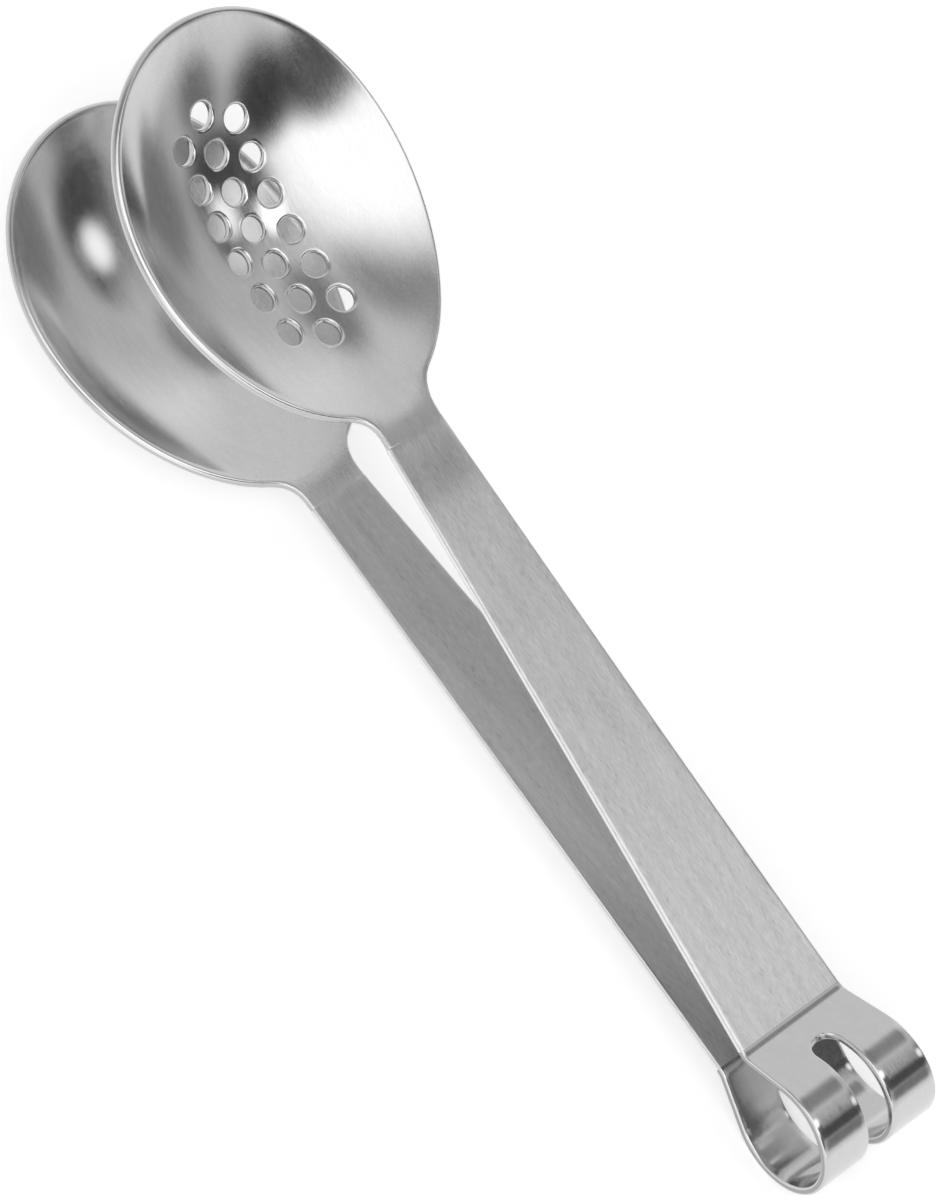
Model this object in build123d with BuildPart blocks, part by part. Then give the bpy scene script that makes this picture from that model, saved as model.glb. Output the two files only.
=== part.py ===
"""Tea bag tongs: one strip of spring steel, bent into a slotted loop at the back, two long
tapered arms and two dished bowls that nest when the arms are squeezed together.

Millimetres. +X runs from the loop to the bowls, +Z is up, and the origin is on the table
under the middle of the tongs, which lie on the back of the loop and on the lower bowl.
"""
import os
from math import acos, asin, atan, atan2, cos, degrees, hypot, pi, radians, sin, sqrt, tan

from build123d import *

# Sheet
sheet = 1.1

# Spring loop, measured at the middle of the sheet from the loop's axis
loop_radius = 7.6
bend_reach = 9.9
upper_bend_height = 2.35
lower_bend_drop = 4.1
bend_radius = 3.0
loop_width = 19.6
slot_width = 4.2
slot_reach = 0.8

# Arms
arm_angle = 5.55
arm_length = 84.4
arm_root_width = 17.1
arm_neck_width = 8.8
arm_waist = 0.17

# Bowls, measured at the middle of the sheet
bowl_length = 53.3
bowl_width = 40.3
bowl_depth = 8.8
rim_bow = 1.7
egg_share = 0.082
upper_pitch = 4.5
lower_pitch = 4.0
neck_length = 3.7
neck_setback = 0.5
neck_flare = 4.6
neck_crease = 0.7
neck_blend_near = 2.0
neck_blend_far = 6.5

# Drain holes of the upper bowl
drain_diameter = 3.2
drain_pitch = 5.1
drain_row_pitch = 4.4
drain_columns = 7

# Overruns of cuts, and how finely and how closely the dish is drawn
cut_overrun = 2.0
neck_columns = 10
dish_columns = 8
dish_rows = 10
dish_tolerance = 0.1
rim_points = 36

# Working sizes
half_length = bowl_length / 2
half_width = bowl_width / 2
loop_back = loop_radius + sheet / 2
neck_end = half_length + neck_length


def on_circle(radius, angle):
    """Point on a circle round the loop's axis, in the side view."""
    return (radius * cos(radians(angle)), radius * sin(radians(angle)))


def ahead(point, distance, angle):
    """Point at a distance from another, in the side view."""
    return (point[0] + distance * cos(radians(angle)), point[1] + distance * sin(radians(angle)))


# Side view of the strip: where the ramps leave the loop, the two bends, the necks and the rims
upper_corner = (bend_reach, upper_bend_height)
lower_corner = (bend_reach, -lower_bend_drop)
upper_leave = degrees(atan2(upper_corner[1], upper_corner[0]) + acos(loop_radius / hypot(*upper_corner)))
lower_leave = degrees(atan2(lower_corner[1], lower_corner[0]) - acos(loop_radius / hypot(*lower_corner)))
upper_tilt = arm_angle + upper_pitch
lower_tilt = -arm_angle + lower_pitch
upper_neck = ahead(upper_corner, arm_length, arm_angle)
lower_neck = ahead(lower_corner, arm_length, -arm_angle)
upper_middle = ahead(upper_neck, neck_setback + neck_end, upper_tilt)
lower_middle = ahead(lower_neck, neck_setback + neck_end, lower_tilt)

# The rim's edge is square to the sheet, so its lower corner reaches past the rim at the tip
rim_lean = atan(2 * bowl_depth / half_length)
tip_reach = half_length + sheet / 2 * sin(rim_lean)
tip_drop = sheet / 2 * cos(rim_lean)
upper_tip = ahead(ahead(upper_middle, tip_reach, upper_tilt), tip_drop, upper_tilt - 90)
lower_tip = ahead(ahead(lower_middle, tip_reach, lower_tilt), tip_drop, lower_tilt - 90)

with BuildLine() as upper_run:
    FilletPolyline(
        on_circle(loop_radius, upper_leave), upper_corner, upper_neck, upper_middle,
        radius=[bend_radius, neck_setback / tan(radians(upper_pitch / 2))],
    )
with BuildLine() as lower_run:
    FilletPolyline(
        on_circle(loop_radius, lower_leave), lower_corner, lower_neck, lower_middle,
        radius=[bend_radius, neck_setback / tan(radians(lower_pitch / 2))],
    )
with BuildLine() as loop_run:
    CenterArc((0, 0), loop_radius, upper_leave, 360 + lower_leave - upper_leave)
upper_ramp, upper_bend, upper_length, upper_crook, _ = upper_run.edges().sort_by(Axis.X)
lower_ramp, lower_bend, lower_length, lower_crook, _ = lower_run.edges().sort_by(Axis.X)

# Lying down, the back of the loop and the round bottom of the lower bowl both touch the table,
# so the strip's middle line leans by lay_angle, and the tongs are centred in X
dish_radius = half_length**2 / (2 * bowl_depth)
dish_centre = ahead(lower_middle, dish_radius - bowl_depth, lower_tilt + 90)
dish_rise = dish_radius + sheet / 2 - loop_back
lay_angle = degrees(asin(dish_rise / hypot(*dish_centre)) - atan2(dish_centre[1], dish_centre[0]))
lay = radians(lay_angle)
upper_reach = upper_tip[0] * cos(lay) - upper_tip[1] * sin(lay)
lower_reach = lower_tip[0] * cos(lay) - lower_tip[1] * sin(lay)
axis_point = ((loop_back - max(upper_reach, lower_reach)) / 2, 0, loop_back)
side = Plane(origin=axis_point, x_dir=(cos(lay), 0, sin(lay)), z_dir=(0, -1, 0))
plan = Plane(origin=axis_point, x_dir=(cos(lay), 0, sin(lay)), z_dir=(-sin(lay), 0, cos(lay)))


def seat(point, tilt):
    """Plane across the strip at a point of the side view, with X along the strip."""
    lean = radians(tilt + lay_angle)
    centre = side.from_local_coords((point[0], point[1], 0))
    return Plane(origin=centre, x_dir=(cos(lean), 0, sin(lean)), z_dir=(-sin(lean), 0, cos(lean)))


upper_seat = seat(upper_middle, upper_tilt)
lower_seat = seat(lower_middle, lower_tilt)
print("lay angle", round(lay_angle, 3), "loop axis", [round(value, 3) for value in axis_point])

# Outline of the flat strip: it tapers to the necks, and keeps widening round the loop
root_y = arm_root_width / 2
neck_y = arm_neck_width / 2
neck_x = upper_neck[0] + neck_setback + cut_overrun
waist_point = ((bend_reach + neck_x) / 2, (root_y + neck_y) / 2 - arm_waist)
strip_wide = loop_width
strip_tall = upper_tip[1] + loop_back
with BuildSketch(plan) as strip_outline:
    with BuildLine():
        Line((-loop_back, 0), (-loop_back, loop_width / 2))
        Line((-loop_back, loop_width / 2), (bend_reach, root_y))
        ThreePointArc((bend_reach, root_y), waist_point, (neck_x, neck_y))
        Line((neck_x, neck_y), (neck_x, 0))
        mirror(about=Plane.XZ)
    make_face()

# Shoulders: the ramp that leaves the loop, with the round end of its slot, and the bend
with BuildPart() as upper_shoulder:
    with BuildSketch(side):
        trace([upper_ramp, upper_bend], line_width=sheet)
    extrude(amount=strip_wide, both=True)
    extrude(strip_outline.sketch, amount=strip_tall, both=True, mode=Mode.INTERSECT)
    with BuildSketch(seat(on_circle(loop_radius, upper_leave), upper_leave - 90)):
        SlotCenterToCenter(2 * slot_reach, slot_width)
    extrude(amount=sheet, both=True, mode=Mode.SUBTRACT)
upper_shoulder.part.label = "upper_shoulder"

with BuildPart() as lower_shoulder:
    with BuildSketch(side):
        trace([lower_ramp, lower_bend], line_width=sheet)
    extrude(amount=strip_wide, both=True)
    extrude(strip_outline.sketch, amount=strip_tall, both=True, mode=Mode.INTERSECT)
    with BuildSketch(seat(on_circle(loop_radius, lower_leave), lower_leave + 90)):
        SlotCenterToCenter(2 * slot_reach, slot_width)
    extrude(amount=sheet, both=True, mode=Mode.SUBTRACT)
lower_shoulder.part.label = "lower_shoulder"

# Spring bands: the loop on either side of its slot
with BuildPart() as loop:
    with BuildSketch(side):
        trace(loop_run.edges(), line_width=sheet)
    extrude(amount=strip_wide, both=True)
    extrude(strip_outline.sketch, amount=strip_tall, both=True, mode=Mode.INTERSECT)
    with BuildSketch(plan):
        Rectangle(loop_back * 2 + cut_overrun, slot_width)
    extrude(amount=strip_tall, both=True, mode=Mode.SUBTRACT)
band_right, band_left = loop.solids().sort_by(Axis.Y)
with BuildPart() as spring_band_left:
    add(band_left)
spring_band_left.part.label = "spring_band_left"
with BuildPart() as spring_band_right:
    add(band_right)
spring_band_right.part.label = "spring_band_right"

# Arms: flat from the bend to the neck, where they crook up into the rim plane of the bowl
with BuildPart() as upper_arm:
    with BuildSketch(side):
        trace([upper_length, upper_crook], line_width=sheet)
    extrude(amount=strip_wide, both=True)
    extrude(strip_outline.sketch, amount=strip_tall, both=True, mode=Mode.INTERSECT)
upper_arm.part.label = "upper_arm"

with BuildPart() as lower_arm:
    with BuildSketch(side):
        trace([lower_length, lower_crook], line_width=sheet)
    extrude(amount=strip_wide, both=True)
    extrude(strip_outline.sketch, amount=strip_tall, both=True, mode=Mode.INTERSECT)
lower_arm.part.label = "lower_arm"


def dish_height(x, y):
    """Height of the pressed sheet over the rim plane: an egg-shaped dish that a flat neck runs into."""
    along = (x / half_length) ** 2
    across = (y / (half_width * (1 + egg_share * x / half_length))) ** 2
    hollow = (bowl_depth - rim_bow) * (along + across - 1) + rim_bow * (along - 1)
    flattened = (hollow - sqrt(hollow**2 + neck_crease**2)) / 2
    share = (neck_blend_far - half_length - x) / (neck_blend_far - neck_blend_near)
    share = min(max(share, 0), 1)
    return hollow + (flattened - hollow) * share**2 * (3 - 2 * share)


# Pressed bowl, drawn once in its own rim plane: the surface, its outline, then the sheet
grid_back = -neck_end - cut_overrun
grid_middle = neck_blend_far - half_length
neck_step = (grid_middle - grid_back) / neck_columns
dish_step = (half_length + cut_overrun - grid_middle) / dish_columns
grid_side = half_width + cut_overrun
row_step = 2 * grid_side / dish_rows
grid_lines = [grid_back + column * neck_step for column in range(neck_columns)]
grid_lines += [grid_middle + column * dish_step for column in range(dish_columns + 1)]
dish_grid = [
    [
        (x, y, dish_height(x, y))
        for y in (row * row_step - grid_side for row in range(dish_rows + 1))
    ]
    for x in grid_lines
]
dish_surface = Face.make_surface_from_array_of_points(dish_grid, tol=dish_tolerance, min_deg=3)
rim = [
    (
        half_length * cos(2 * pi * point / rim_points),
        half_width * sin(2 * pi * point / rim_points) * (1 + egg_share * cos(2 * pi * point / rim_points)),
    )
    for point in range(rim_points)
]
with BuildPart() as blank:
    with BuildSketch():
        with BuildLine():
            Spline(*rim, periodic=True)
        make_face()
        with Locations((-half_length - cut_overrun / 2, 0)):
            Rectangle(2 * neck_length + cut_overrun, arm_neck_width)
    extrude(amount=bowl_depth + cut_overrun, both=True)
    fillet(blank.edges().filter_by(Axis.Z).group_by(Axis.X)[-1], neck_flare)
with BuildPart() as pressed:
    thicken(dish_surface.intersect(blank.part)[0], amount=sheet / 2, both=True)
    split(bisect_by=Plane.YZ.offset(-neck_end), keep=Keep.TOP)

# Lower bowl
with BuildPart(lower_seat) as lower_bowl:
    add(pressed.part)
lower_bowl.part.label = "lower_bowl"

# Upper bowl, with three staggered rows of drain holes
with BuildPart(upper_seat) as upper_bowl:
    add(pressed.part)
    with BuildSketch(upper_seat):
        with GridLocations(drain_pitch, drain_row_pitch, drain_columns, 1):
            Circle(drain_diameter / 2)
        with GridLocations(drain_pitch, 2 * drain_row_pitch, drain_columns - 1, 2):
            Circle(drain_diameter / 2)
    extrude(amount=-bowl_depth - cut_overrun, mode=Mode.SUBTRACT)
upper_bowl.part.label = "upper_bowl"

os.makedirs("parts", exist_ok=True)
export_step(lower_bowl.part, "parts/lower_bowl.step")
export_step(lower_arm.part, "parts/lower_arm.step")
export_step(lower_shoulder.part, "parts/lower_shoulder.step")
export_step(spring_band_left.part, "parts/spring_band_left.step")
export_step(spring_band_right.part, "parts/spring_band_right.step")
export_step(upper_shoulder.part, "parts/upper_shoulder.step")
export_step(upper_arm.part, "parts/upper_arm.step")
export_step(upper_bowl.part, "parts/upper_bowl.step")
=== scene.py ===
"""Tea bag tongs of brushed steel: one bent strip with a slotted spring loop, two long arms and
two pressed bowls. Every section is a surface worked out from the strip's own flat pattern."""
from math import acos, asin, atan2, cos, hypot, pi, radians, sin, tan

import bpy
import numpy as np
from mathutils import Matrix, Vector


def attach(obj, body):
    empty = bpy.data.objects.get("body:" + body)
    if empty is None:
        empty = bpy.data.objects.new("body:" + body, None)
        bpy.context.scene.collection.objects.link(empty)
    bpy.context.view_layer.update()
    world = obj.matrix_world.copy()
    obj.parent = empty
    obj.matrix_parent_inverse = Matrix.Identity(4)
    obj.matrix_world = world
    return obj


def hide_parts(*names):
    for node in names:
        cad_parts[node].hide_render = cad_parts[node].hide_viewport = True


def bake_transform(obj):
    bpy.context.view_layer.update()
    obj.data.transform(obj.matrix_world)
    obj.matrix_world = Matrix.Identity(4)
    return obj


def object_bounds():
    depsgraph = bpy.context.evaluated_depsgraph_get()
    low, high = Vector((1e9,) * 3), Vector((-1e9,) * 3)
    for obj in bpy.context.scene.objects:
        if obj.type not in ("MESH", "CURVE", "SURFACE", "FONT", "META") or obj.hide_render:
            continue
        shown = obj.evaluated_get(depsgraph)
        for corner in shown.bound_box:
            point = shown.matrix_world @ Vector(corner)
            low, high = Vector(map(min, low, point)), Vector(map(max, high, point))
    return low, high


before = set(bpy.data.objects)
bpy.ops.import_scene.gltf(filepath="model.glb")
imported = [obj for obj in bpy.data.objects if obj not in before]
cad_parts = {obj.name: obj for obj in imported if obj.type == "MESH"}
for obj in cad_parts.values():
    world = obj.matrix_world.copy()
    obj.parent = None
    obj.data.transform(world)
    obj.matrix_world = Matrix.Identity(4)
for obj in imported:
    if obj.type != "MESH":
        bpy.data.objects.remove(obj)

bl_info = {
    "name": "Tea bag tongs",
    "version": (1, 0, 0),
    "blender": (4, 5, 0),
    "location": "3D View > Sidebar > Tongs",
    "description": "Builds sprung steel tea bag tongs over their CAD frame",
    "category": "Object",
}

MM = 0.001
LOWER = "lower_half"
UPPER = "upper_half"
CUT_EDGE = "cut_edge"
ACROSS = np.array([0.0, 1.0, 0.0])
CAD_LOW, CAD_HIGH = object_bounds()

# How finely the surfaces are drawn. The edge steps are shares of a cut edge's rounding.
EDGE_STEPS = (0.0, 0.25, 0.55, 1.0)
SLOT_END_POINTS = 25
RAMP_POINTS = 12
BEND_POINTS = 9
SHOULDER_STEPS_ACROSS = 14
ARM_POINTS = 61
CROOK_POINTS = 5
ARM_STEPS_ACROSS = 12
BAND_POINTS = 97
BAND_STEPS_ACROSS = 8
EGG_POINTS = 4001
FLARE_TRIALS = 801
EGG_SKIP = 10
HOLE_SIDE_STEPS = 8
HOLE_RINGS = 5
FLARE_STEPS = 5
NECK_SIDE_STEPS = 3
NECK_END_STEPS = 4
BOWL_RINGS = 16
SLOPE_STEP = 0.01 * MM
SAME_POINT = 0.0005 * MM
SHARP_ANGLE = radians(50)

# The arms' taper runs this far past the crook
TAPER_REACH = 2 * MM
# Distances in roundings of the edge: of the neck's corner, and of points that no edge is near
CORNER_INSET = 1.3
FAR_FROM_EDGE = 10
# The drain holes stand in this many rows, the middle one with one hole more than the others
DRAIN_ROWS = 3

# The grain: how drawn out its strokes are, the broad noise's scale and share, the mean of both
# noises, and how much the grain shows in the roughness and in the bump
GRAIN_STRETCH = (0.12, 1.0, 1.0)
BROAD_SCALE = 900.0
BROAD_SHARE = 0.5
GRAIN_DETAIL = 2.0
GRAIN_MEAN = 0.75
ROUGHNESS_SWING = 0.1
BUMP_STRENGTH = 0.35
# Turn of the gloss from along the grain to across it
ACROSS_GRAIN = 0.25
# Length over which the neck's roughness fades to the dish's, and a neck's end for the pieces
# that have no neck, far behind them
NECK_FADE = 14 * MM
NO_NECK = -1.0

# How much the grain shows in the colour of each section
BOWL_TONE = 0.25
ARM_TONE = 0.6
LOOP_TONE = 0.15

# Where the upper arm's bow and the upper neck's fold start and end, from the bend or the neck
BOW_SPAN = 82 * MM
BOW_START = (0.0, 4 * MM)
BOW_END = (-12 * MM, -1 * MM)
FOLD_START = (-12 * MM, 0.0)
FOLD_END = (2.5 * MM, 6.5 * MM)


def length(name, description, millimetres):
    """Length property, in metres."""
    return bpy.props.FloatProperty(
        name=name, description=description, default=millimetres * MM, unit="LENGTH", precision=6)


def angle(name, description, degrees):
    """Angle property, in radians."""
    return bpy.props.FloatProperty(
        name=name, description=description, default=radians(degrees), subtype="ANGLE")


def number(name, description, value):
    """Plain number property."""
    return bpy.props.FloatProperty(name=name, description=description, default=value)


def grey(name, description, value):
    """Colour property with an even default."""
    return bpy.props.FloatVectorProperty(
        name=name, description=description, subtype="COLOR", size=3, default=(value, value, value))


class TongsSizes(bpy.types.PropertyGroup):
    """Sizes of the bent strip, in metres, as in the CAD frame."""
    sheet: length("Sheet", "Thickness of the strip", 1.1)
    edge: length("Edge", "Rounding of the strip's edges", 0.3)
    loop_radius: length("Loop radius", "Radius of the spring loop at the middle of the sheet", 7.6)
    bend_reach: length("Bend reach", "Distance of the bends from the loop's axis", 9.9)
    upper_bend: length("Upper bend", "Height of the upper bend over the loop's axis", 2.35)
    lower_bend: length("Lower bend", "Depth of the lower bend under the loop's axis", 4.1)
    bend_radius: length("Bend radius", "Radius of the two bends", 3.0)
    loop_width: length("Loop width", "Width of the strip at the back of the loop", 19.6)
    slot_width: length("Slot width", "Width of the slot in the loop", 4.2)
    slot_reach: length(
        "Slot reach", "How far the slot runs into each shoulder before it rounds off", 0.8)
    arm_angle: angle("Arm angle", "Angle of each arm from the middle plane", 5.55)
    arm_length: length("Arm length", "Length of an arm between its bend and its neck", 84.4)
    root_width: length("Root width", "Width of an arm at its bend", 17.1)
    neck_width: length("Neck width", "Width of an arm at its neck", 8.8)
    waist: length("Waist", "How far an arm's side bows inwards", 0.17)
    bowl_length: length("Bowl length", "Length of a bowl's rim", 53.3)
    bowl_width: length("Bowl width", "Width of a bowl's rim", 40.3)
    bowl_depth: length("Bowl depth", "Depth of a bowl", 8.8)
    rim_bow: length("Rim bow", "How far the rim sags at its sides", 1.7)
    egg_share: number("Egg share", "How much wider a bowl is towards its tip", 0.082)
    upper_pitch: angle("Upper pitch", "Angle of the upper bowl's rim to its arm", 4.5)
    lower_pitch: angle("Lower pitch", "Angle of the lower bowl's rim to its arm", 4.0)
    neck_length: length("Neck length", "Flat length between an arm and its bowl", 3.7)
    neck_setback: length("Neck setback", "Half the length of the crook at a neck", 0.5)
    neck_flare: length("Neck flare", "Radius between a neck and the rim", 4.6)
    neck_crease: length("Neck crease", "Softness of the fold between neck and dish", 0.7)
    blend_near: length("Blend near", "Where the fold starts to fade", 2.0)
    blend_far: length("Blend far", "Where the fold has faded", 6.5)
    drain_diameter: length("Drain diameter", "Diameter of the drain holes", 3.2)
    drain_pitch: length("Drain pitch", "Spacing of the holes in a row", 5.1)
    drain_row_pitch: length("Drain row pitch", "Spacing of the rows of holes", 4.4)
    drain_columns: bpy.props.IntProperty(
        name="Drain columns", description="Holes in the middle row", default=7)


class TongsFinish(bpy.types.PropertyGroup):
    """Colour and grain of the steel."""
    colour: grey("Colour", "Reflected colour of the brushed steel", 0.60)
    # Colours of the cut edges, which paint light on them: the arms' edges are lighter than the
    # steel as a painted highlight on their side faces, and the bowls' rims and the loop's edges are
    # darker as painted shade.
    arm_edge_highlight_colour: grey("Edge colour", "Reflected colour of the arms' polished cut edges", 0.80)
    rim_shade_colour: grey("Rim colour", "Reflected colour of the trimmed edges of the bowls", 0.52)
    loop_edge_shade_colour: grey(
        "Loop edge colour", "Reflected colour of the cut edges of the loop and its shoulders", 0.36)
    roughness: number("Roughness", "Roughness of the arms and necks", 0.30)
    dish_roughness: number("Dish roughness", "Roughness inside the bowls", 0.14)
    loop_roughness: number("Loop roughness", "Roughness of the loop and its shoulders", 0.155)
    edge_roughness: number("Edge roughness", "Roughness of the cut edges", 0.15)
    spread: number("Spread", "How much wider gloss is across the grain than along it", 0.75)
    grain_width: length("Grain width", "Width of a stroke of the brushed grain", 0.13)
    grain_depth: length("Grain depth", "Depth of the brushed grain", 0.006)
    bow: angle("Bow", "How far the sheen of the upper arm leans at its ends, as if arched", 3.5)
    fold: angle("Fold", "How far the sheen leans where the upper neck rounds over", 18)


class TongsStudio(bpy.types.PropertyGroup):
    """Place and lens of the camera."""
    eye: bpy.props.FloatVectorProperty(
        name="Eye", description="Place of the camera", subtype="TRANSLATION", size=3,
        default=(-0.16301, 0.72134, 1.20423))
    aim: bpy.props.FloatVectorProperty(
        name="Aim", description="Point that the camera looks at", subtype="TRANSLATION", size=3,
        default=(0.00749, 0.0, 0.01644))
    roll: angle("Roll", "Turn of the camera about its own axis", 39.708)
    focal: number("Focal length", "Focal length in millimetres on the long side", 346.99)
    shift: bpy.props.FloatVectorProperty(
        name="Shift", description="Shift of the picture in shares of its long side", size=2,
        default=(0.02066, -0.03311))


def sizes():
    """Sizes that the scene holds."""
    return bpy.context.scene.tongs_sizes


# Side view of the strip. Points are (u, v) from the loop's axis, with u along the middle plane.

def ahead(point, distance, heading):
    """Point at a distance from another, at an angle from the u axis."""
    return (point[0] + distance * cos(heading), point[1] + distance * sin(heading))


def side_axes(lean):
    """Directions along and up in the frame, of a plane that leans up by an angle."""
    return np.array([cos(lean), 0.0, sin(lean)]), np.array([-sin(lean), 0.0, cos(lean)])


class Layout:
    """Where the bends, necks and bowls are in the side view, and how the strip lies on the
    table."""

    def __init__(self):
        s = sizes()
        halves = (UPPER, LOWER)
        upper_corner = (s.bend_reach, s.upper_bend)
        lower_corner = (s.bend_reach, -s.lower_bend)
        self.leave = {
            UPPER: atan2(s.upper_bend, s.bend_reach) + acos(s.loop_radius / hypot(*upper_corner)),
            LOWER: atan2(-s.lower_bend, s.bend_reach) - acos(s.loop_radius / hypot(*lower_corner)),
        }
        self.corner = {UPPER: upper_corner, LOWER: lower_corner}
        self.arm = {UPPER: s.arm_angle, LOWER: -s.arm_angle}
        self.pitch = {UPPER: s.upper_pitch, LOWER: s.lower_pitch}
        self.neck = {half: ahead(self.corner[half], s.arm_length, self.arm[half])
                     for half in halves}
        self.tilt = {half: self.arm[half] + self.pitch[half] for half in halves}
        run = s.neck_setback + s.neck_length + s.bowl_length / 2
        self.middle = {half: ahead(self.neck[half], run, self.tilt[half]) for half in halves}
        back = s.loop_radius + s.sheet / 2
        dish = (s.bowl_length / 2) ** 2 / (2 * s.bowl_depth)
        centre = ahead(self.middle[LOWER], dish - s.bowl_depth, self.tilt[LOWER] + pi / 2)
        rise = asin((dish + s.sheet / 2 - back) / hypot(*centre))
        self.lay = rise - atan2(centre[1], centre[0])
        self.axis = np.array([CAD_LOW[0] + back, 0.0, CAD_LOW[2] + back])
        self.along, self.up = side_axes(self.lay)

    def world(self, u, v, y):
        """Points of the side view, set across at y, in the frame."""
        return self.axis + u[:, None] * self.along + v[:, None] * self.up + y[:, None] * ACROSS

    def one(self, point):
        """One point of the side view in the middle plane, in the frame."""
        return self.world(*np.array([[point[0]], [point[1]], [0.0]]))[0]


def strip_half_width(layout, u):
    """Half the strip's width at u: straight flares round the loop, then a side that bows inwards to
    the neck. The bowed side is the arc through the bend, the waist and the neck."""
    s = sizes()
    neck_u = layout.neck[UPPER][0] + s.neck_setback + TAPER_REACH
    root, neck = s.root_width / 2, s.neck_width / 2
    waist = ((s.bend_reach + neck_u) / 2, (root + neck) / 2 - s.waist)
    points = np.array([[s.bend_reach, root], waist, [neck_u, neck]])
    # the circle's centre lies on the bisectors of its two chords
    rows = 2 * (points[1:] - points[:-1])
    centre = np.linalg.solve(rows, (points[1:] ** 2 - points[:-1] ** 2).sum(axis=1))
    radius = hypot(*(points[0] - centre))
    side = np.sign(points[0][1] - centre[1])
    arm = centre[1] + side * np.sqrt(np.maximum(radius**2 - (u - centre[0]) ** 2, 0))
    back = s.loop_radius + s.sheet / 2
    flare = root + (s.loop_width / 2 - root) * (s.bend_reach - u) / (s.bend_reach + back)
    return np.where(u < s.bend_reach, flare, arm)


def run_along(start, heading, segments, s):
    """Points and headings at lengths s along a chain of straight lines and arcs.
    Each segment is (length, turn): the heading turns evenly by turn over the length."""
    u = np.full_like(s, start[0])
    v = np.full_like(s, start[1])
    headings = np.full_like(s, heading)
    for segment, turn in segments:
        part = np.clip(s, 0, segment)
        if turn:
            radius = segment / turn
            now = heading + part / radius
            u = u + radius * (np.sin(now) - sin(heading))
            v = v - radius * (np.cos(now) - cos(heading))
            headings = np.where(s > 0, now, headings)
        else:
            u = u + part * cos(heading)
            v = v + part * sin(heading)
        heading = heading + turn
        s = s - segment
    return u, v, headings


def half_strip(layout, half):
    """Start, heading and segments of one half of the strip, from the loop to the neck's end."""
    s = sizes()
    start = ahead((0.0, 0.0), s.loop_radius, layout.leave[half])
    corner = layout.corner[half]
    heading = atan2(corner[1] - start[1], corner[0] - start[0])
    bend = layout.arm[half] - heading
    bend_trim = s.bend_radius * tan(abs(bend) / 2)
    ramp = hypot(corner[0] - start[0], corner[1] - start[1]) - bend_trim
    crook_radius = s.neck_setback / tan(layout.pitch[half] / 2)
    segments = [
        (ramp, 0.0),
        (s.bend_radius * abs(bend), bend),
        (s.arm_length - bend_trim - s.neck_setback, 0.0),
        (crook_radius * layout.pitch[half], layout.pitch[half]),
    ]
    return start, heading, segments


def place_on_strip(layout, half):
    """Function that carries the flat pattern (length from the loop, y) onto the bent strip."""
    chain = half_strip(layout, half)

    def place(plan):
        u, v, headings = run_along(*chain, plan[:, 0])
        lean = headings + layout.lay
        normal = np.stack([-np.sin(lean), np.zeros_like(lean), np.cos(lean)], axis=1)
        return layout.world(u, v, plan[:, 1]), normal
    return place


def place_on_loop(layout):
    """Function that carries (angle round the axis, y) onto the loop, with the normal outwards."""
    radius = sizes().loop_radius

    def place(plan):
        u, v = radius * np.cos(plan[:, 0]), radius * np.sin(plan[:, 0])
        normal = np.cos(plan[:, :1]) * layout.along + np.sin(plan[:, :1]) * layout.up
        return layout.world(u, v, plan[:, 1]), normal
    return place


def smoothstep(x, start, end):
    """Goes softly from 0 at start to 1 at end, which may be the lower of the two."""
    share = np.clip((x - start) / (end - start), 0, 1)
    return share**2 * (3 - 2 * share)


def dish_height(x, y):
    """Height of the pressed sheet over the rim plane: a bowl whose height is the square of the
    distance from its middle in shares of the egg, with a soft fold where the flat neck runs into
    it. The neck comes level with the arm at its end."""
    s = sizes()
    half_length, half_width = s.bowl_length / 2, s.bowl_width / 2
    along = (x / half_length) ** 2
    across = (y / (half_width * (1 + s.egg_share * x / half_length))) ** 2
    hollow = (s.bowl_depth - s.rim_bow) * (along + across - 1) + s.rim_bow * (along - 1)
    flat = (hollow - np.sqrt(hollow**2 + s.neck_crease**2)) / 2
    flat = flat * smoothstep(x, -half_length - s.neck_length, -half_length)
    return hollow + (flat - hollow) * smoothstep(x, s.blend_far - half_length,
                                                 s.blend_near - half_length)


def place_on_bowl(layout, half):
    """Function that carries (x, y) of the rim plane onto the dish, with the normal out of the
    hollow."""
    centre = layout.one(layout.middle[half])
    along, up = side_axes(layout.tilt[half] + layout.lay)
    step = SLOPE_STEP

    def place(plan):
        x, y = plan[:, 0], plan[:, 1]
        height = dish_height(x, y)
        slope_x = (dish_height(x + step, y) - dish_height(x - step, y)) / (2 * step)
        slope_y = (dish_height(x, y + step) - dish_height(x, y - step)) / (2 * step)
        point = centre + x[:, None] * along + y[:, None] * ACROSS + height[:, None] * up
        normal = up - slope_x[:, None] * along - slope_y[:, None] * ACROSS
        return point, normal / np.linalg.norm(normal, axis=1, keepdims=True)
    return place


# Flat patterns. Each is (points, quads, distance of each point from the nearest cut edge).

def grid_pattern(x, y, distance):
    """Pattern of a grid of points, given as arrays that broadcast to (rows, columns). The quads
    face up where x grows with the rows and y with the columns."""
    x, y, distance = np.broadcast_arrays(x, y, distance)
    index = np.arange(x.size).reshape(x.shape)
    quads = np.stack([index[:-1, :-1], index[1:, :-1], index[1:, 1:], index[:-1, 1:]], axis=-1)
    return np.stack([x.ravel(), y.ravel()], axis=1), quads.reshape(-1, 4), distance.ravel()


def joined(patterns):
    """One pattern of several, with points that fall together made one."""
    points = np.concatenate([pattern[0] for pattern in patterns])
    distance = np.concatenate([pattern[2] for pattern in patterns])
    starts = np.cumsum([0] + [len(pattern[0]) for pattern in patterns[:-1]])
    quads = np.concatenate([pattern[1] + start for pattern, start in zip(patterns, starts)])
    rounded = np.round(points / SAME_POINT).astype(int)
    _, first, where = np.unique(rounded, axis=0, return_index=True, return_inverse=True)
    return points[first], where.ravel()[quads], distance[first]


def both_sides(half):
    """Closed outline of which a half, from the middle plane to the middle plane, is given."""
    return np.concatenate([half, (half * (1, -1))[-2:0:-1]])


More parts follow.
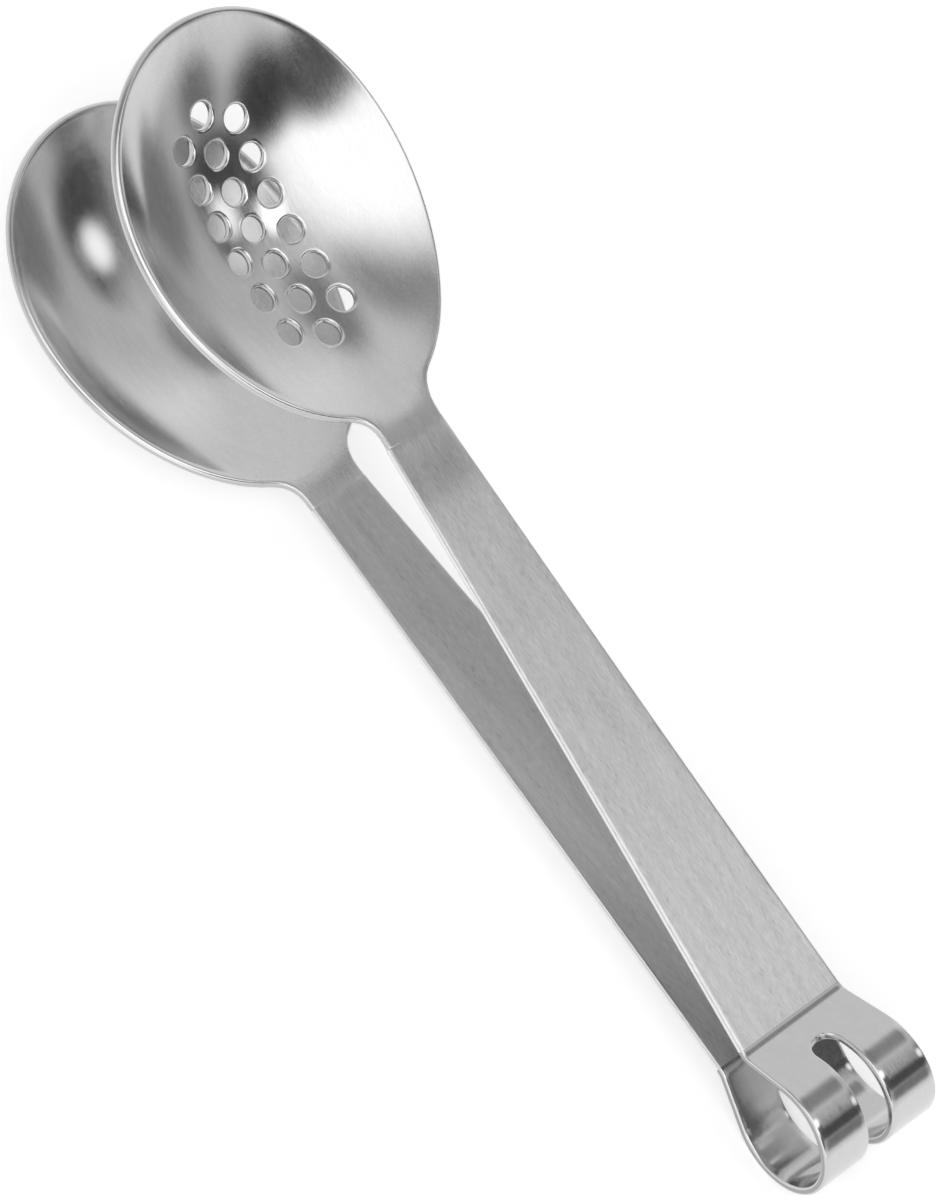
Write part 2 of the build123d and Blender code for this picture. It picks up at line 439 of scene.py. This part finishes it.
def edge_shares(width, edge, steps):
    """Shares of a width from one cut edge to the other: fine steps inside each edge's rounding,
    even steps between."""
    near = np.array(EDGE_STEPS) * edge / width
    between = np.linspace(near[-1], 1 - near[-1], steps + 1)[1:-1]
    return np.concatenate([near, between, 1 - near[::-1]])


def sheet_mesh(name, pattern, place):
    """Closed mesh of a sheet: the pattern is carried onto its middle surface by place, and its two
    faces lie half the sheet above and below. Near a cut edge the faces close in on a quarter
    circle, and every open side of the pattern gets a wall, which an attribute marks."""
    s = sizes()
    points, quads, distance = pattern
    middle, normal = place(points)
    inside = s.edge - np.minimum(distance, s.edge)
    half = s.sheet / 2 - s.edge + np.sqrt(np.maximum(s.edge**2 - inside**2, 0))
    count = len(points)
    offset = normal * half[:, None]
    pairs = np.stack([quads, np.roll(quads, -1, axis=1)], axis=-1).reshape(-1, 2)
    there, back = pairs[:, 0] * count + pairs[:, 1], pairs[:, 1] * count + pairs[:, 0]
    a, b = pairs[~np.isin(back, there)].T
    walls = np.stack([b, a, a + count, b + count], axis=1)
    faces = np.concatenate([quads, quads[:, ::-1] + count, walls])
    mesh = bpy.data.meshes.new(name)
    mesh.from_pydata(np.concatenate([middle + offset, middle - offset]).tolist(), [],
                     faces.tolist())
    cut = mesh.attributes.new(CUT_EDGE, "FLOAT", "FACE")
    cut.data.foreach_set("value", np.repeat([0.0, 1.0], [2 * len(quads), len(walls)]))
    mesh.validate()
    mesh.shade_smooth()
    mesh.set_sharp_from_angle(angle=SHARP_ANGLE)
    mesh.update()
    piece = bpy.data.objects.new(name, mesh)
    bpy.context.scene.collection.objects.link(piece)
    return piece


def shoulder_pattern(layout, half):
    """Ramp and bend, from the loop on. The slot's round end is cut out of the start, as a half
    circle."""
    s = sizes()
    start, heading, segments = half_strip(layout, half)
    slot = s.slot_width / 2
    ramp = segments[0][0]
    total = ramp + segments[1][0]
    turn = np.linspace(0, pi / 2, SLOT_END_POINTS)
    rounded = np.concatenate([[0], s.slot_reach + slot * np.sin(turn)])
    close = rounded[-1] + s.edge * np.array(EDGE_STEPS[1:])
    run = np.concatenate([rounded, close, np.linspace(close[-1], ramp, RAMP_POINTS)[1:],
                          np.linspace(ramp, total, BEND_POINTS)[1:]])
    outer = strip_half_width(layout, run_along(start, heading, segments, run)[0])
    past = np.maximum(run - s.slot_reach, 0)
    inner = np.sqrt(np.maximum(slot**2 - past**2, 0))
    inner[len(rounded) - 1:] = 0.0
    share = edge_shares(outer.min(), s.edge, SHOULDER_STEPS_ACROSS)
    y = inner[:, None] + (outer - inner)[:, None] * share
    round_end = np.maximum(np.hypot(past[:, None], y) - slot, 0)
    one = grid_pattern(run[:, None], y, np.minimum(outer[:, None] - y, round_end))
    other = (one[0] * (1, -1), one[1][:, ::-1], one[2])
    return joined([one, other])


def arm_pattern(layout, half):
    """Flat arm from the end of the bend to the end of the crook."""
    s = sizes()
    start, heading, segments = half_strip(layout, half)
    first = segments[0][0] + segments[1][0]
    crook = first + segments[2][0]
    run = np.concatenate([np.linspace(first, crook, ARM_POINTS),
                          np.linspace(crook, crook + segments[3][0], CROOK_POINTS)[1:]])
    outer = strip_half_width(layout, run_along(start, heading, segments, run)[0])[:, None]
    y = outer * (2 * edge_shares(s.neck_width, s.edge, ARM_STEPS_ACROSS) - 1)
    return grid_pattern(run[:, None], y, outer - np.abs(y))


def band_pattern(layout, side):
    """One side of the loop, from the lower shoulder round the back to the upper one."""
    s = sizes()
    turn = np.linspace(layout.leave[UPPER], layout.leave[LOWER] + 2 * pi, BAND_POINTS)
    outer = strip_half_width(layout, s.loop_radius * np.cos(turn))[:, None]
    inner = s.slot_width / 2
    share = edge_shares(s.loop_width / 2 - inner, s.edge, BAND_STEPS_ACROSS)
    y = inner + (outer - inner) * share
    points, quads, far = grid_pattern(turn[:, None], y * side, np.minimum(outer - y, y - inner))
    # the angle runs backwards along the strip, so the faces turn over
    return points, quads if side < 0 else quads[:, ::-1], far


def bowl_outline():
    """Half outline of a bowl with its neck, y over zero: the neck's end, its side, the flare and
    the egg, from the middle plane to the middle plane. It has as many steps as half the block of
    drain holes: half an end, a side and half an end."""
    s = sizes()
    half_length, half_width, half_neck = s.bowl_length / 2, s.bowl_width / 2, s.neck_width / 2
    turn = np.linspace(pi, 0, EGG_POINTS)
    wide = half_width * np.sin(turn) * (1 + s.egg_share * np.cos(turn))
    egg = np.stack([half_length * np.cos(turn), wide], 1)
    # the flare's circle touches both the neck's side and the egg
    centre_y = half_neck + s.neck_flare
    trial = np.linspace(-half_length - s.neck_flare, -half_length + s.neck_flare, FLARE_TRIALS)
    centres = np.stack([trial, np.full_like(trial, centre_y)], 1)
    gaps = np.sqrt(((egg[None, ::EGG_SKIP] - centres[:, None]) ** 2).sum(axis=2))
    centre_x = np.interp(-s.neck_flare, -gaps.min(axis=1), trial)
    centre = np.array([centre_x, centre_y])
    meet = int(np.argmin(np.hypot(*(egg - centre).T)[: len(egg) // 2]))
    end_x = -half_length - s.neck_length
    end_y = np.linspace(0, half_neck - CORNER_INSET * s.edge, NECK_END_STEPS)
    end = np.stack([np.full(NECK_END_STEPS + 1, end_x), np.append(end_y, half_neck)], 1)
    side_x = np.linspace(end_x, centre_x, NECK_SIDE_STEPS + 1)[1:]
    side = np.stack([side_x, np.full(NECK_SIDE_STEPS, half_neck)], 1)
    last = atan2(egg[meet][1] - centre_y, egg[meet][0] - centre_x)
    swing = np.linspace(-pi / 2, last, FLARE_STEPS + 1)[1:]
    flare = centre + s.neck_flare * np.stack([np.cos(swing), np.sin(swing)], 1)
    rest = HOLE_SIDE_STEPS * (DRAIN_ROWS + s.drain_columns)
    rest -= NECK_END_STEPS + NECK_SIDE_STEPS + FLARE_STEPS
    path = np.concatenate([[0], np.cumsum(np.hypot(*np.diff(egg[meet:], axis=0).T))])
    along = np.linspace(0, path[-1], rest + 1)[1:]
    body = np.stack([np.interp(along, path, egg[meet:, 0]),
                     np.interp(along, path, egg[meet:, 1])], 1)
    points = np.concatenate([end, side, flare, body])
    points[-1, 1] = 0.0
    return points


def cell_ring(width, height, steps):
    """Points round a cell's border from its lower left corner, anticlockwise, with steps on each
    side."""
    t = np.arange(steps) / steps
    x = np.concatenate([t, np.ones(steps), 1 - t, np.zeros(steps)]) - 0.5
    y = np.concatenate([np.zeros(steps), t, np.ones(steps), 1 - t]) - 0.5
    return np.stack([x * width, y * height], 1)


def ring_pattern(rings, distance):
    """Pattern of closed rings, from the outermost in, each an array of the same number of
    points."""
    stack = np.stack(rings)
    turns, count = stack.shape[:2]
    index = np.arange(turns * count).reshape(turns, count)
    after = np.roll(index, -1, axis=1)
    quads = np.stack([index[:-1], after[:-1], after[1:], index[1:]], axis=-1).reshape(-1, 4)
    return stack.reshape(-1, 2), quads, np.stack(distance).ravel()


def pierced_cell(width, height):
    """Pattern of one cell round its middle: a square that closes in on a round hole."""
    s = sizes()
    border = cell_ring(width, height, HOLE_SIDE_STEPS)
    circle = border / np.hypot(*border.T)[:, None]
    hole = s.drain_diameter / 2
    rings = [border + (circle * (hole + s.edge) - border) * share
             for share in np.linspace(0, 1, HOLE_RINGS + 1)[:-1]]
    gaps = [np.full(len(border), FAR_FROM_EDGE * s.edge)] * HOLE_RINGS
    for step in EDGE_STEPS[::-1]:
        rings.append(circle * (hole + s.edge * step))
        gaps.append(np.full(len(border), s.edge * step))
    return ring_pattern(rings, gaps)


def block_patterns(pierced):
    """The middle block of a bowl: rows of cells, the middle row with one more than the others,
    which end in half a cell. A cell is pierced, or else plain."""
    s = sizes()
    pitch, row, steps = s.drain_pitch, s.drain_row_pitch, HOLE_SIDE_STEPS
    patterns = []

    def plain(x0, x1, y0, columns):
        patterns.append(grid_pattern(np.linspace(x0, x1, columns + 1)[:, None],
                                     np.linspace(y0, y0 + row, steps + 1), FAR_FROM_EDGE * s.edge))

    cell, quads, distance = pierced_cell(pitch, row)
    for line in range(-(DRAIN_ROWS // 2), DRAIN_ROWS // 2 + 1):
        count = s.drain_columns - abs(line)
        low = (line - 0.5) * row
        for column in range(count):
            x = (column - (count - 1) / 2) * pitch
            if pierced:
                patterns.append((cell + (x, line * row), quads, distance))
            else:
                plain(x - pitch / 2, x + pitch / 2, low, steps)
        if line:
            inner, outer = count * pitch / 2, s.drain_columns * pitch / 2
            plain(inner, outer, low, steps // 2)
            plain(-outer, -inner, low, steps // 2)
    return patterns


def bowl_pattern(pierced):
    """Pattern of a bowl: the middle block, and rings from its border out to the rim and the
    neck."""
    s = sizes()
    outline = both_sides(bowl_outline())
    chord = np.roll(outline, -1, axis=0) - np.roll(outline, 1, axis=0)
    inward = np.stack([chord[:, 1], -chord[:, 0]], 1) / np.hypot(*chord.T)[:, None]
    on_end = np.zeros(len(outline), bool)
    on_end[:NECK_END_STEPS] = True
    on_end[len(outline) - NECK_END_STEPS + 1:] = True
    inward[on_end] = (1, 0)
    inward[[NECK_END_STEPS, len(outline) - NECK_END_STEPS]] = [(1, -1), (1, 1)]
    wide, tall = s.drain_columns * s.drain_pitch / 2, DRAIN_ROWS * s.drain_row_pitch / 2
    end = np.linspace(0, tall, DRAIN_ROWS * HOLE_SIDE_STEPS // 2 + 1)
    side = np.linspace(-wide, wide, s.drain_columns * HOLE_SIDE_STEPS + 1)
    block = both_sides(np.concatenate([
        np.stack([np.full_like(end, -wide), end], 1),
        np.stack([side, np.full_like(side, tall)], 1)[1:],
        np.stack([np.full_like(end, wide), end[::-1]], 1)[1:],
    ]))
    rings = [outline + inward * s.edge * step for step in EDGE_STEPS]
    gaps = [np.where(on_end, s.neck_width / 2 - np.abs(ring[:, 1]), s.edge * step)
            for ring, step in zip(rings, EDGE_STEPS)]
    last = rings[-1]
    for share in np.linspace(0, 1, BOWL_RINGS + 1)[1:]:
        rings.append(last + (block - last) * share)
        gaps.append(np.full(len(outline), FAR_FROM_EDGE * s.edge))
    points, quads, distance = ring_pattern(rings, gaps)
    return joined([(points, quads[:, ::-1], distance)] + block_patterns(pierced))


# Shader nodes. Each function adds a node to a tree and gives the output that is used.

def wire(tree, socket, value):
    """Gives a socket a value, or links it to the output given."""
    if isinstance(value, bpy.types.NodeSocket):
        tree.links.new(value, socket)
    else:
        socket.default_value = value


def fill(tree, node, values):
    """Gives a node's inputs, by name or number, their values or links."""
    for key, value in values.items():
        wire(tree, node.inputs[key], value)
    return node


def maths(tree, operation, *values):
    """Math on numbers."""
    node = tree.nodes.new("ShaderNodeMath")
    node.operation = operation
    for socket, value in zip(node.inputs, values):
        wire(tree, socket, value)
    return node.outputs["Value"]


def turned(tree, vector, turn):
    """Vector turned about Y."""
    node = tree.nodes.new("ShaderNodeVectorRotate")
    node.rotation_type = "Y_AXIS"
    return fill(tree, node, {"Vector": vector, "Angle": turn}).outputs["Vector"]


def mapped(tree, value, low, high, first=0.0, last=1.0, kind="SMOOTHSTEP"):
    """Value that goes from first at low to last at high."""
    node = tree.nodes.new("ShaderNodeMapRange")
    node.interpolation_type = kind
    fill(tree, node, {"Value": value, "From Min": low, "From Max": high,
                      "To Min": first, "To Max": last})
    return node.outputs["Result"]


def mix(tree, share, first, second, kind="FLOAT"):
    """First and second mixed by a share."""
    node = tree.nodes.new("ShaderNodeMix")
    node.data_type = kind
    fill(tree, node, {"Factor": share, "A": first, "B": second})
    return node.outputs["Result"]


def place_part(tree, kind, part):
    """One coordinate, X, Y or Z, of the Object or Generated coordinates."""
    place = tree.nodes.new("ShaderNodeTexCoord")
    apart = tree.nodes.new("ShaderNodeSeparateXYZ")
    wire(tree, apart.inputs[0], place.outputs[kind])
    return apart.outputs[part]


def noise(tree, vector, scale):
    """Noise on a vector."""
    node = tree.nodes.new("ShaderNodeTexNoise")
    fill(tree, node, {"Vector": vector, "Scale": scale, "Detail": GRAIN_DETAIL})
    return node.outputs["Fac"]


def new_group(name, inputs, outputs):
    """Shader node group with sockets, each (name, kind)."""
    group = bpy.data.node_groups.new(name, "ShaderNodeTree")
    for side, sockets in (("INPUT", inputs), ("OUTPUT", outputs)):
        for label, kind in sockets:
            group.interface.new_socket(name=label, in_out=side, socket_type="NodeSocket" + kind)
    given = group.nodes.new("NodeGroupInput").outputs
    return group, given, group.nodes.new("NodeGroupOutput").inputs


# Materials

def brushed_grain():
    """Grain group: strokes drawn out along the object's own X, turned by Lean about Y. Height and
    tone are a fine and a broad noise on coordinates squeezed along the strokes. The roughness goes
    from the neck's to the piece's own past the neck's end; cut edges have their own roughness, and
    their own colour, which carries painted light: lighter than the steel as a painted highlight on
    the arms, darker as painted shade on the bowls' rims and the loop. Both are picked by the
    attribute that marks them."""
    if "Brushed grain" in bpy.data.node_groups:
        return bpy.data.node_groups["Brushed grain"]
    group, given, out = new_group(
        "Brushed grain",
        [("Lean", "Float"), ("Fineness", "Float"), ("Tone", "Float"), ("Neck Roughness", "Float"),
         ("Roughness", "Float"), ("Neck End", "Float"), ("Edge Roughness", "Float"),
         ("Colour", "Color"), ("Painted Edge Colour", "Color")],
        [("Height", "Float"), ("Roughness", "Float"), ("Colour", "Color")])
    place = group.nodes.new("ShaderNodeTexCoord")
    drawn = group.nodes.new("ShaderNodeVectorMath")
    drawn.operation = "MULTIPLY"
    fill(group, drawn, {0: turned(group, place.outputs["Object"], given["Lean"]),
                        1: GRAIN_STRETCH})
    fine = noise(group, drawn.outputs["Vector"], given["Fineness"])
    broad = noise(group, drawn.outputs["Vector"], BROAD_SCALE)
    height = maths(group, "MULTIPLY_ADD", broad, BROAD_SHARE, fine)
    wire(group, out["Height"], height)
    around = maths(group, "SUBTRACT", height, GRAIN_MEAN)
    edge = group.nodes.new("ShaderNodeAttribute")
    edge.attribute_name = CUT_EDGE
    past = maths(group, "SUBTRACT", place_part(group, "Object", "X"), given["Neck End"])
    level = mix(group, mapped(group, past, 0.0, NECK_FADE),
                given["Neck Roughness"], given["Roughness"])
    rough = maths(group, "MULTIPLY_ADD", around, ROUGHNESS_SWING, level)
    wire(group, out["Roughness"], mix(group, edge.outputs["Fac"], rough, given["Edge Roughness"]))
    tinted = group.nodes.new("ShaderNodeVectorMath")
    tinted.operation = "SCALE"
    shade = maths(group, "MULTIPLY_ADD", around, given["Tone"], 1.0)
    fill(group, tinted, {0: given["Colour"], "Scale": shade})
    # cut edges take their own colour here, which is painted light: a painted highlight on the arms,
    # painted shade on the bowls' rims and the loop
    wire(group, out["Colour"], mix(group, edge.outputs["Fac"], tinted.outputs["Vector"],
                                   given["Painted Edge Colour"], "RGBA"))
    return group


def arched():
    """Normal group for the upper half: turns the surface normal about Y. It leans by Bow at the
    arm's ends, as if the arm were arched, and by Fold at the neck, where the sheet rounds over
    into the dish."""
    if "Arched" in bpy.data.node_groups:
        return bpy.data.node_groups["Arched"]
    group, given, out = new_group(
        "Arched", [("Tail", "Float"), ("Neck", "Float"), ("Bow", "Float"), ("Fold", "Float")],
        [("Normal", "Vector")])
    x = place_part(group, "Object", "X")
    from_tail = maths(group, "SUBTRACT", x, given["Tail"])
    from_neck = maths(group, "SUBTRACT", x, given["Neck"])

    def times(*factors):
        product = factors[0]
        for factor in factors[1:]:
            product = maths(group, "MULTIPLY", product, factor)
        return product

    bowed = times(mapped(group, from_tail, 0.0, BOW_SPAN, -1.0, 1.0, "LINEAR"),
                  mapped(group, from_tail, *BOW_START),
                  mapped(group, from_neck, *BOW_END, 1.0, 0.0), given["Bow"])
    folded = times(mapped(group, from_neck, *FOLD_START),
                   mapped(group, from_neck, *FOLD_END, 1.0, 0.0), given["Fold"])
    surface = group.nodes.new("ShaderNodeNewGeometry")
    lean = maths(group, "ADD", bowed, folded)
    wire(group, out["Normal"], turned(group, surface.outputs["Normal"], lean))
    return group


def group_node(tree, group, values):
    """Node of a group in a tree, with its inputs filled."""
    node = tree.nodes.new("ShaderNodeGroup")
    node.node_tree = group
    return fill(tree, node, values)


def steel(name, lean, roughness, tone, edge, neck_end=NO_NECK):
    """Stainless steel with a brushed grain along the strip, which spreads gloss across itself.
    The edge is the colour of the cut edges, which paints light on them: a painted highlight where
    it is lighter than the steel, painted shade where it is darker."""
    finish = bpy.context.scene.tongs_finish
    material = bpy.data.materials.new(name)
    material.use_nodes = True
    tree = material.node_tree
    grain = group_node(tree, brushed_grain(), {
        "Lean": lean,
        "Fineness": 1 / finish.grain_width,
        "Tone": tone,
        "Neck Roughness": finish.roughness,
        "Roughness": roughness,
        "Neck End": neck_end,
        "Edge Roughness": finish.edge_roughness,
        "Colour": (*finish.colour, 1.0),
        # the cut edges' colour: a painted highlight or painted shade
        "Painted Edge Colour": (*edge, 1.0),
    }).outputs
    bump = fill(tree, tree.nodes.new("ShaderNodeBump"), {
        "Strength": BUMP_STRENGTH, "Distance": finish.grain_depth, "Height": grain["Height"]})
    along = tree.nodes.new("ShaderNodeTangent")
    along.direction_type = "RADIAL"
    along.axis = "Y"
    fill(tree, tree.nodes["Principled BSDF"], {
        "Metallic": 1.0,
        "Anisotropic": finish.spread,
        "Anisotropic Rotation": ACROSS_GRAIN,
        "Base Color": grain["Colour"],
        "Roughness": grain["Roughness"],
        "Normal": bump.outputs["Normal"],
        "Tangent": along.outputs["Tangent"],
    })
    return material


def arch(material, layout):
    """Feeds the upper half's arched normal to the grain's bump."""
    finish = bpy.context.scene.tongs_finish
    tree = material.node_tree
    lean = group_node(tree, arched(), {
        "Tail": layout.one(layout.corner[UPPER])[0],
        "Neck": layout.one(layout.neck[UPPER])[0],
        "Bow": finish.bow,
        "Fold": finish.fold,
    })
    wire(tree, tree.nodes["Bump"].inputs["Normal"], lean.outputs["Normal"])


def dress(piece, material, node, body=None):
    """Gives a piece its steel and the CAD node that it stands for."""
    piece.data.materials.append(material)
    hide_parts(node)
    if body:
        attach(piece, body)


class TONGS_OT_bowls(bpy.types.Operator):
    """Presses the lower bowl and the pierced upper bowl"""
    bl_idname = "tongs.bowls"
    bl_label = "Bowls"

    def execute(self, context):
        layout = Layout()
        finish = context.scene.tongs_finish
        for half, name in ((LOWER, "lower_bowl"), (UPPER, "upper_bowl")):
            # the bowls' rims take a darker colour than the steel: painted shade
            satin = steel(name + "_steel", layout.tilt[half] + layout.lay, finish.dish_roughness,
                          BOWL_TONE, finish.rim_shade_colour, layout.one(layout.neck[half])[0])
            if half == UPPER:
                arch(satin, layout)
            piece = sheet_mesh(name + "_pressing", bowl_pattern(pierced=half == UPPER),
                               place_on_bowl(layout, half))
            dress(piece, satin, name, half)
        return {"FINISHED"}


class TONGS_OT_arms(bpy.types.Operator):
    """Draws the two tapered arms"""
    bl_idname = "tongs.arms"
    bl_label = "Arms"

    def execute(self, context):
        layout = Layout()
        finish = context.scene.tongs_finish
        for half, name in ((LOWER, "lower_arm"), (UPPER, "upper_arm")):
            # the arms' cut edges take a lighter colour than the steel: a painted highlight
            brushed = steel(name + "_steel", layout.arm[half] + layout.lay, finish.roughness,
                            ARM_TONE, finish.arm_edge_highlight_colour)
            if half == UPPER:
                arch(brushed, layout)
            piece = sheet_mesh(name + "_blade", arm_pattern(layout, half),
                               place_on_strip(layout, half))
            dress(piece, brushed, name, half)
        return {"FINISHED"}


class TONGS_OT_shoulders(bpy.types.Operator):
    """Bends the two shoulders, with the round ends of the slot"""
    bl_idname = "tongs.shoulders"
    bl_label = "Shoulders"

    def execute(self, context):
        layout = Layout()
        finish = context.scene.tongs_finish
        for half, name in ((LOWER, "lower_shoulder"), (UPPER, "upper_shoulder")):
            # the shoulders' cut edges take a darker colour than the steel: painted shade
            smooth = steel(name + "_steel", layout.lay, finish.loop_roughness, LOOP_TONE,
                           finish.loop_edge_shade_colour)
            piece = sheet_mesh(name + "_bend", shoulder_pattern(layout, half),
                               place_on_strip(layout, half))
            dress(piece, smooth, name, half)
        return {"FINISHED"}


class TONGS_OT_spring(bpy.types.Operator):
    """Rolls the two bands of the loop, which on the real tongs bend as the arms close"""
    bl_idname = "tongs.spring"
    bl_label = "Spring"

    def execute(self, context):
        layout = Layout()
        finish = context.scene.tongs_finish
        # the loop's cut edges take a darker colour than the steel: painted shade
        rolled = steel("spring_steel", layout.lay, finish.loop_roughness, LOOP_TONE,
                       finish.loop_edge_shade_colour)
        for side, name in ((1, "spring_band_left"), (-1, "spring_band_right")):
            piece = sheet_mesh(name + "_roll", band_pattern(layout, side), place_on_loop(layout))
            dress(piece, rolled, name)
            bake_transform(piece)
        return {"FINISHED"}


# Studio

# Patches of the studio's sky: azimuth and height in degrees, level, and the angles from there, in
# degrees, where a patch is full and where it ends. Later patches lie over earlier ones.
STUDIO_PATCHES = (
    (-117, 23, 1.05, 43, 60),
    (-120, 31, 0.65, 25, 51),
    (48, 74, 0.35, 7, 23),
    (130, 37, 1.7, 31, 57),
    (157, 32, 0.11, 10, 21),
    (-175, 35, 0.05, 7, 18),
    (-129, 44, 0.08, 18, 26),
    (-109, -6, 0.45, 3, 32),
    (-122, 39, 1.7, 2, 9),
    (-86, 59, 0.72, 2, 29),
    (-140, 61, 2.2, 4, 9),
    (-68, 64, 0.28, 8, 18),
    (95, 21, 0.53, 8, 13),
    (35, 42, 0.32, 9, 27),
    (-147, 18, 0.2, 4, 12),
)
# A dark flag that stands in front of the white cove
FLAG = (-112, 4, 0.25, 8, 18)
SKY_LEVEL = 0.84

# The white cove ends and the patches begin between these heights
WHITE_BELOW = radians(2)
SKY_ABOVE = radians(8)

# Half the floor's width, its colour, and its glow where it is seen
FLOOR_REACH = 3.0
FLOOR_COLOUR = (0.8, 0.8, 0.8, 1)
FLOOR_GLOW = 0.42
WHITE = (1, 1, 1, 1)

# Camera, in millimetres and metres
SENSOR_WIDTH = 36.0
CLIP_END = 10.0


def soft_patch():
    """Sky group: adds to a level a soft round patch about a direction, and gives the new level.
    The patch is full within Full of the direction and nothing past None, both as cosines."""
    group, given, out = new_group(
        "Soft patch",
        [("Base", "Float"), ("Toward", "Vector"), ("Level", "Float"), ("Full", "Float"),
         ("None", "Float")],
        [("Level", "Float")])
    place = group.nodes.new("ShaderNodeTexCoord")
    near = group.nodes.new("ShaderNodeVectorMath")
    near.operation = "DOT_PRODUCT"
    fill(group, near, {0: place.outputs["Generated"], 1: given["Toward"]})
    share = mapped(group, near.outputs["Value"], given["None"], given["Full"])
    wire(group, out["Level"], mix(group, share, given["Base"], given["Level"]))
    return group


def toward(azimuth, height):
    """Unit vector toward an azimuth and a height, both in degrees."""
    turn, rise = radians(azimuth), radians(height)
    return (cos(rise) * cos(turn), cos(rise) * sin(turn), sin(rise))


class TONGS_OT_stage(bpy.types.Operator):
    """Sets up the camera, the floor and the soft light"""
    bl_idname = "tongs.stage"
    bl_label = "Stage"

    def execute(self, context):
        scene = context.scene
        self.camera(scene)
        self.floor(scene)
        self.sky(scene)
        scene.view_settings.view_transform = "Standard"
        return {"FINISHED"}

    def camera(self, scene):
        """Camera at the eye, toward the aim, rolled and shifted."""
        studio = scene.tongs_studio
        camera = bpy.data.cameras.new("Camera")
        camera.lens = studio.focal
        camera.sensor_width = SENSOR_WIDTH
        camera.clip_end = CLIP_END
        camera.shift_x, camera.shift_y = studio.shift
        eye, aim = Vector(studio.eye), Vector(studio.aim)
        look = (aim - eye).to_track_quat("-Z", "Y").to_matrix()
        turn = (look @ Matrix.Rotation(studio.roll, 3, "Z")).to_4x4()
        holder = bpy.data.objects.new("Camera", camera)
        holder.matrix_world = Matrix.Translation(eye) @ turn
        scene.collection.objects.link(holder)
        scene.camera = holder

    def floor(self, scene):
        """Wide pale floor just under the tongs. Seen straight, in gloss or through glass it is
        white, and darker where the tongs shade it."""
        corners = [(x * FLOOR_REACH, y * FLOOR_REACH, CAD_LOW[2])
                   for x, y in ((-1, -1), (1, -1), (1, 1), (-1, 1))]
        mesh = bpy.data.meshes.new("floor")
        mesh.from_pydata(corners, [], [(0, 1, 2, 3)])
        floor = bpy.data.objects.new("floor", mesh)
        scene.collection.objects.link(floor)
        pale = bpy.data.materials.new("pale_floor")
        pale.use_nodes = True
        tree = pale.node_tree
        tree.nodes.clear()
        matt = tree.nodes.new("ShaderNodeBsdfDiffuse")
        matt.inputs["Color"].default_value = FLOOR_COLOUR
        glow = tree.nodes.new("ShaderNodeEmission")
        glow.inputs["Strength"].default_value = FLOOR_GLOW
        both = fill(tree, tree.nodes.new("ShaderNodeAddShader"),
                    {0: matt.outputs[0], 1: glow.outputs[0]})
        path = tree.nodes.new("ShaderNodeLightPath").outputs
        seen = maths(tree, "MAXIMUM", path["Is Camera Ray"], path["Is Glossy Ray"])
        seen = maths(tree, "MAXIMUM", seen, path["Is Transmission Ray"])
        pick = fill(tree, tree.nodes.new("ShaderNodeMixShader"),
                    {"Fac": seen, 1: matt.outputs[0], 2: both.outputs[0]})
        end = tree.nodes.new("ShaderNodeOutputMaterial")
        wire(tree, end.inputs["Surface"], pick.outputs[0])
        mesh.materials.append(pale)

    def sky(self, scene):
        """Soft studio light from the world: a white cove at the horizon, over it an even level
        with brighter and darker patches, and one dark flag low down."""
        world = bpy.data.worlds.new("Studio")
        scene.world = world
        world.use_nodes = True
        tree = world.node_tree
        tree.nodes.clear()
        group = soft_patch()

        def cover(level, azimuth, rise, value, full, none):
            patch = group_node(tree, group, {
                "Base": level,
                "Toward": toward(azimuth, rise),
                "Level": value,
                "Full": cos(radians(full)),
                "None": cos(radians(none)),
            })
            return patch.outputs["Level"]

        level = SKY_LEVEL
        for row in STUDIO_PATCHES:
            level = cover(level, *row)
        height = place_part(tree, "Generated", "Z")
        above = mapped(tree, height, sin(WHITE_BELOW), sin(SKY_ABOVE))
        lit = fill(tree, tree.nodes.new("ShaderNodeBackground"),
                   {"Color": WHITE, "Strength": cover(mix(tree, above, 1.0, level), *FLAG)})
        end = tree.nodes.new("ShaderNodeOutputWorld")
        wire(tree, end.inputs["Surface"], lit.outputs[0])


class TONGS_PT_panel(bpy.types.Panel):
    """Lists the pieces of the tongs"""
    bl_idname = "TONGS_PT_panel"
    bl_label = "Tea bag tongs"
    bl_space_type = "VIEW_3D"
    bl_region_type = "UI"
    bl_category = "Tongs"

    def draw(self, context):
        scene = context.scene
        for operator in OPERATORS:
            self.layout.operator(operator.bl_idname)
        for group in (scene.tongs_sizes, scene.tongs_finish, scene.tongs_studio):
            box = self.layout.box()
            for key in group.__annotations__:
                box.prop(group, key)


OPERATORS = (TONGS_OT_stage, TONGS_OT_bowls, TONGS_OT_arms, TONGS_OT_shoulders, TONGS_OT_spring)
CLASSES = (TongsSizes, TongsFinish, TongsStudio, *OPERATORS, TONGS_PT_panel)


def register():
    for cls in CLASSES:
        bpy.utils.register_class(cls)
    bpy.types.Scene.tongs_sizes = bpy.props.PointerProperty(type=TongsSizes)
    bpy.types.Scene.tongs_finish = bpy.props.PointerProperty(type=TongsFinish)
    bpy.types.Scene.tongs_studio = bpy.props.PointerProperty(type=TongsStudio)


def unregister():
    del bpy.types.Scene.tongs_studio
    del bpy.types.Scene.tongs_finish
    del bpy.types.Scene.tongs_sizes
    for cls in reversed(CLASSES):
        bpy.utils.unregister_class(cls)


def main():
    register()
    bpy.ops.tongs.stage()
    bpy.ops.tongs.bowls()
    bpy.ops.tongs.arms()
    bpy.ops.tongs.shoulders()
    bpy.ops.tongs.spring()


if __name__ == "__main__":
    main()
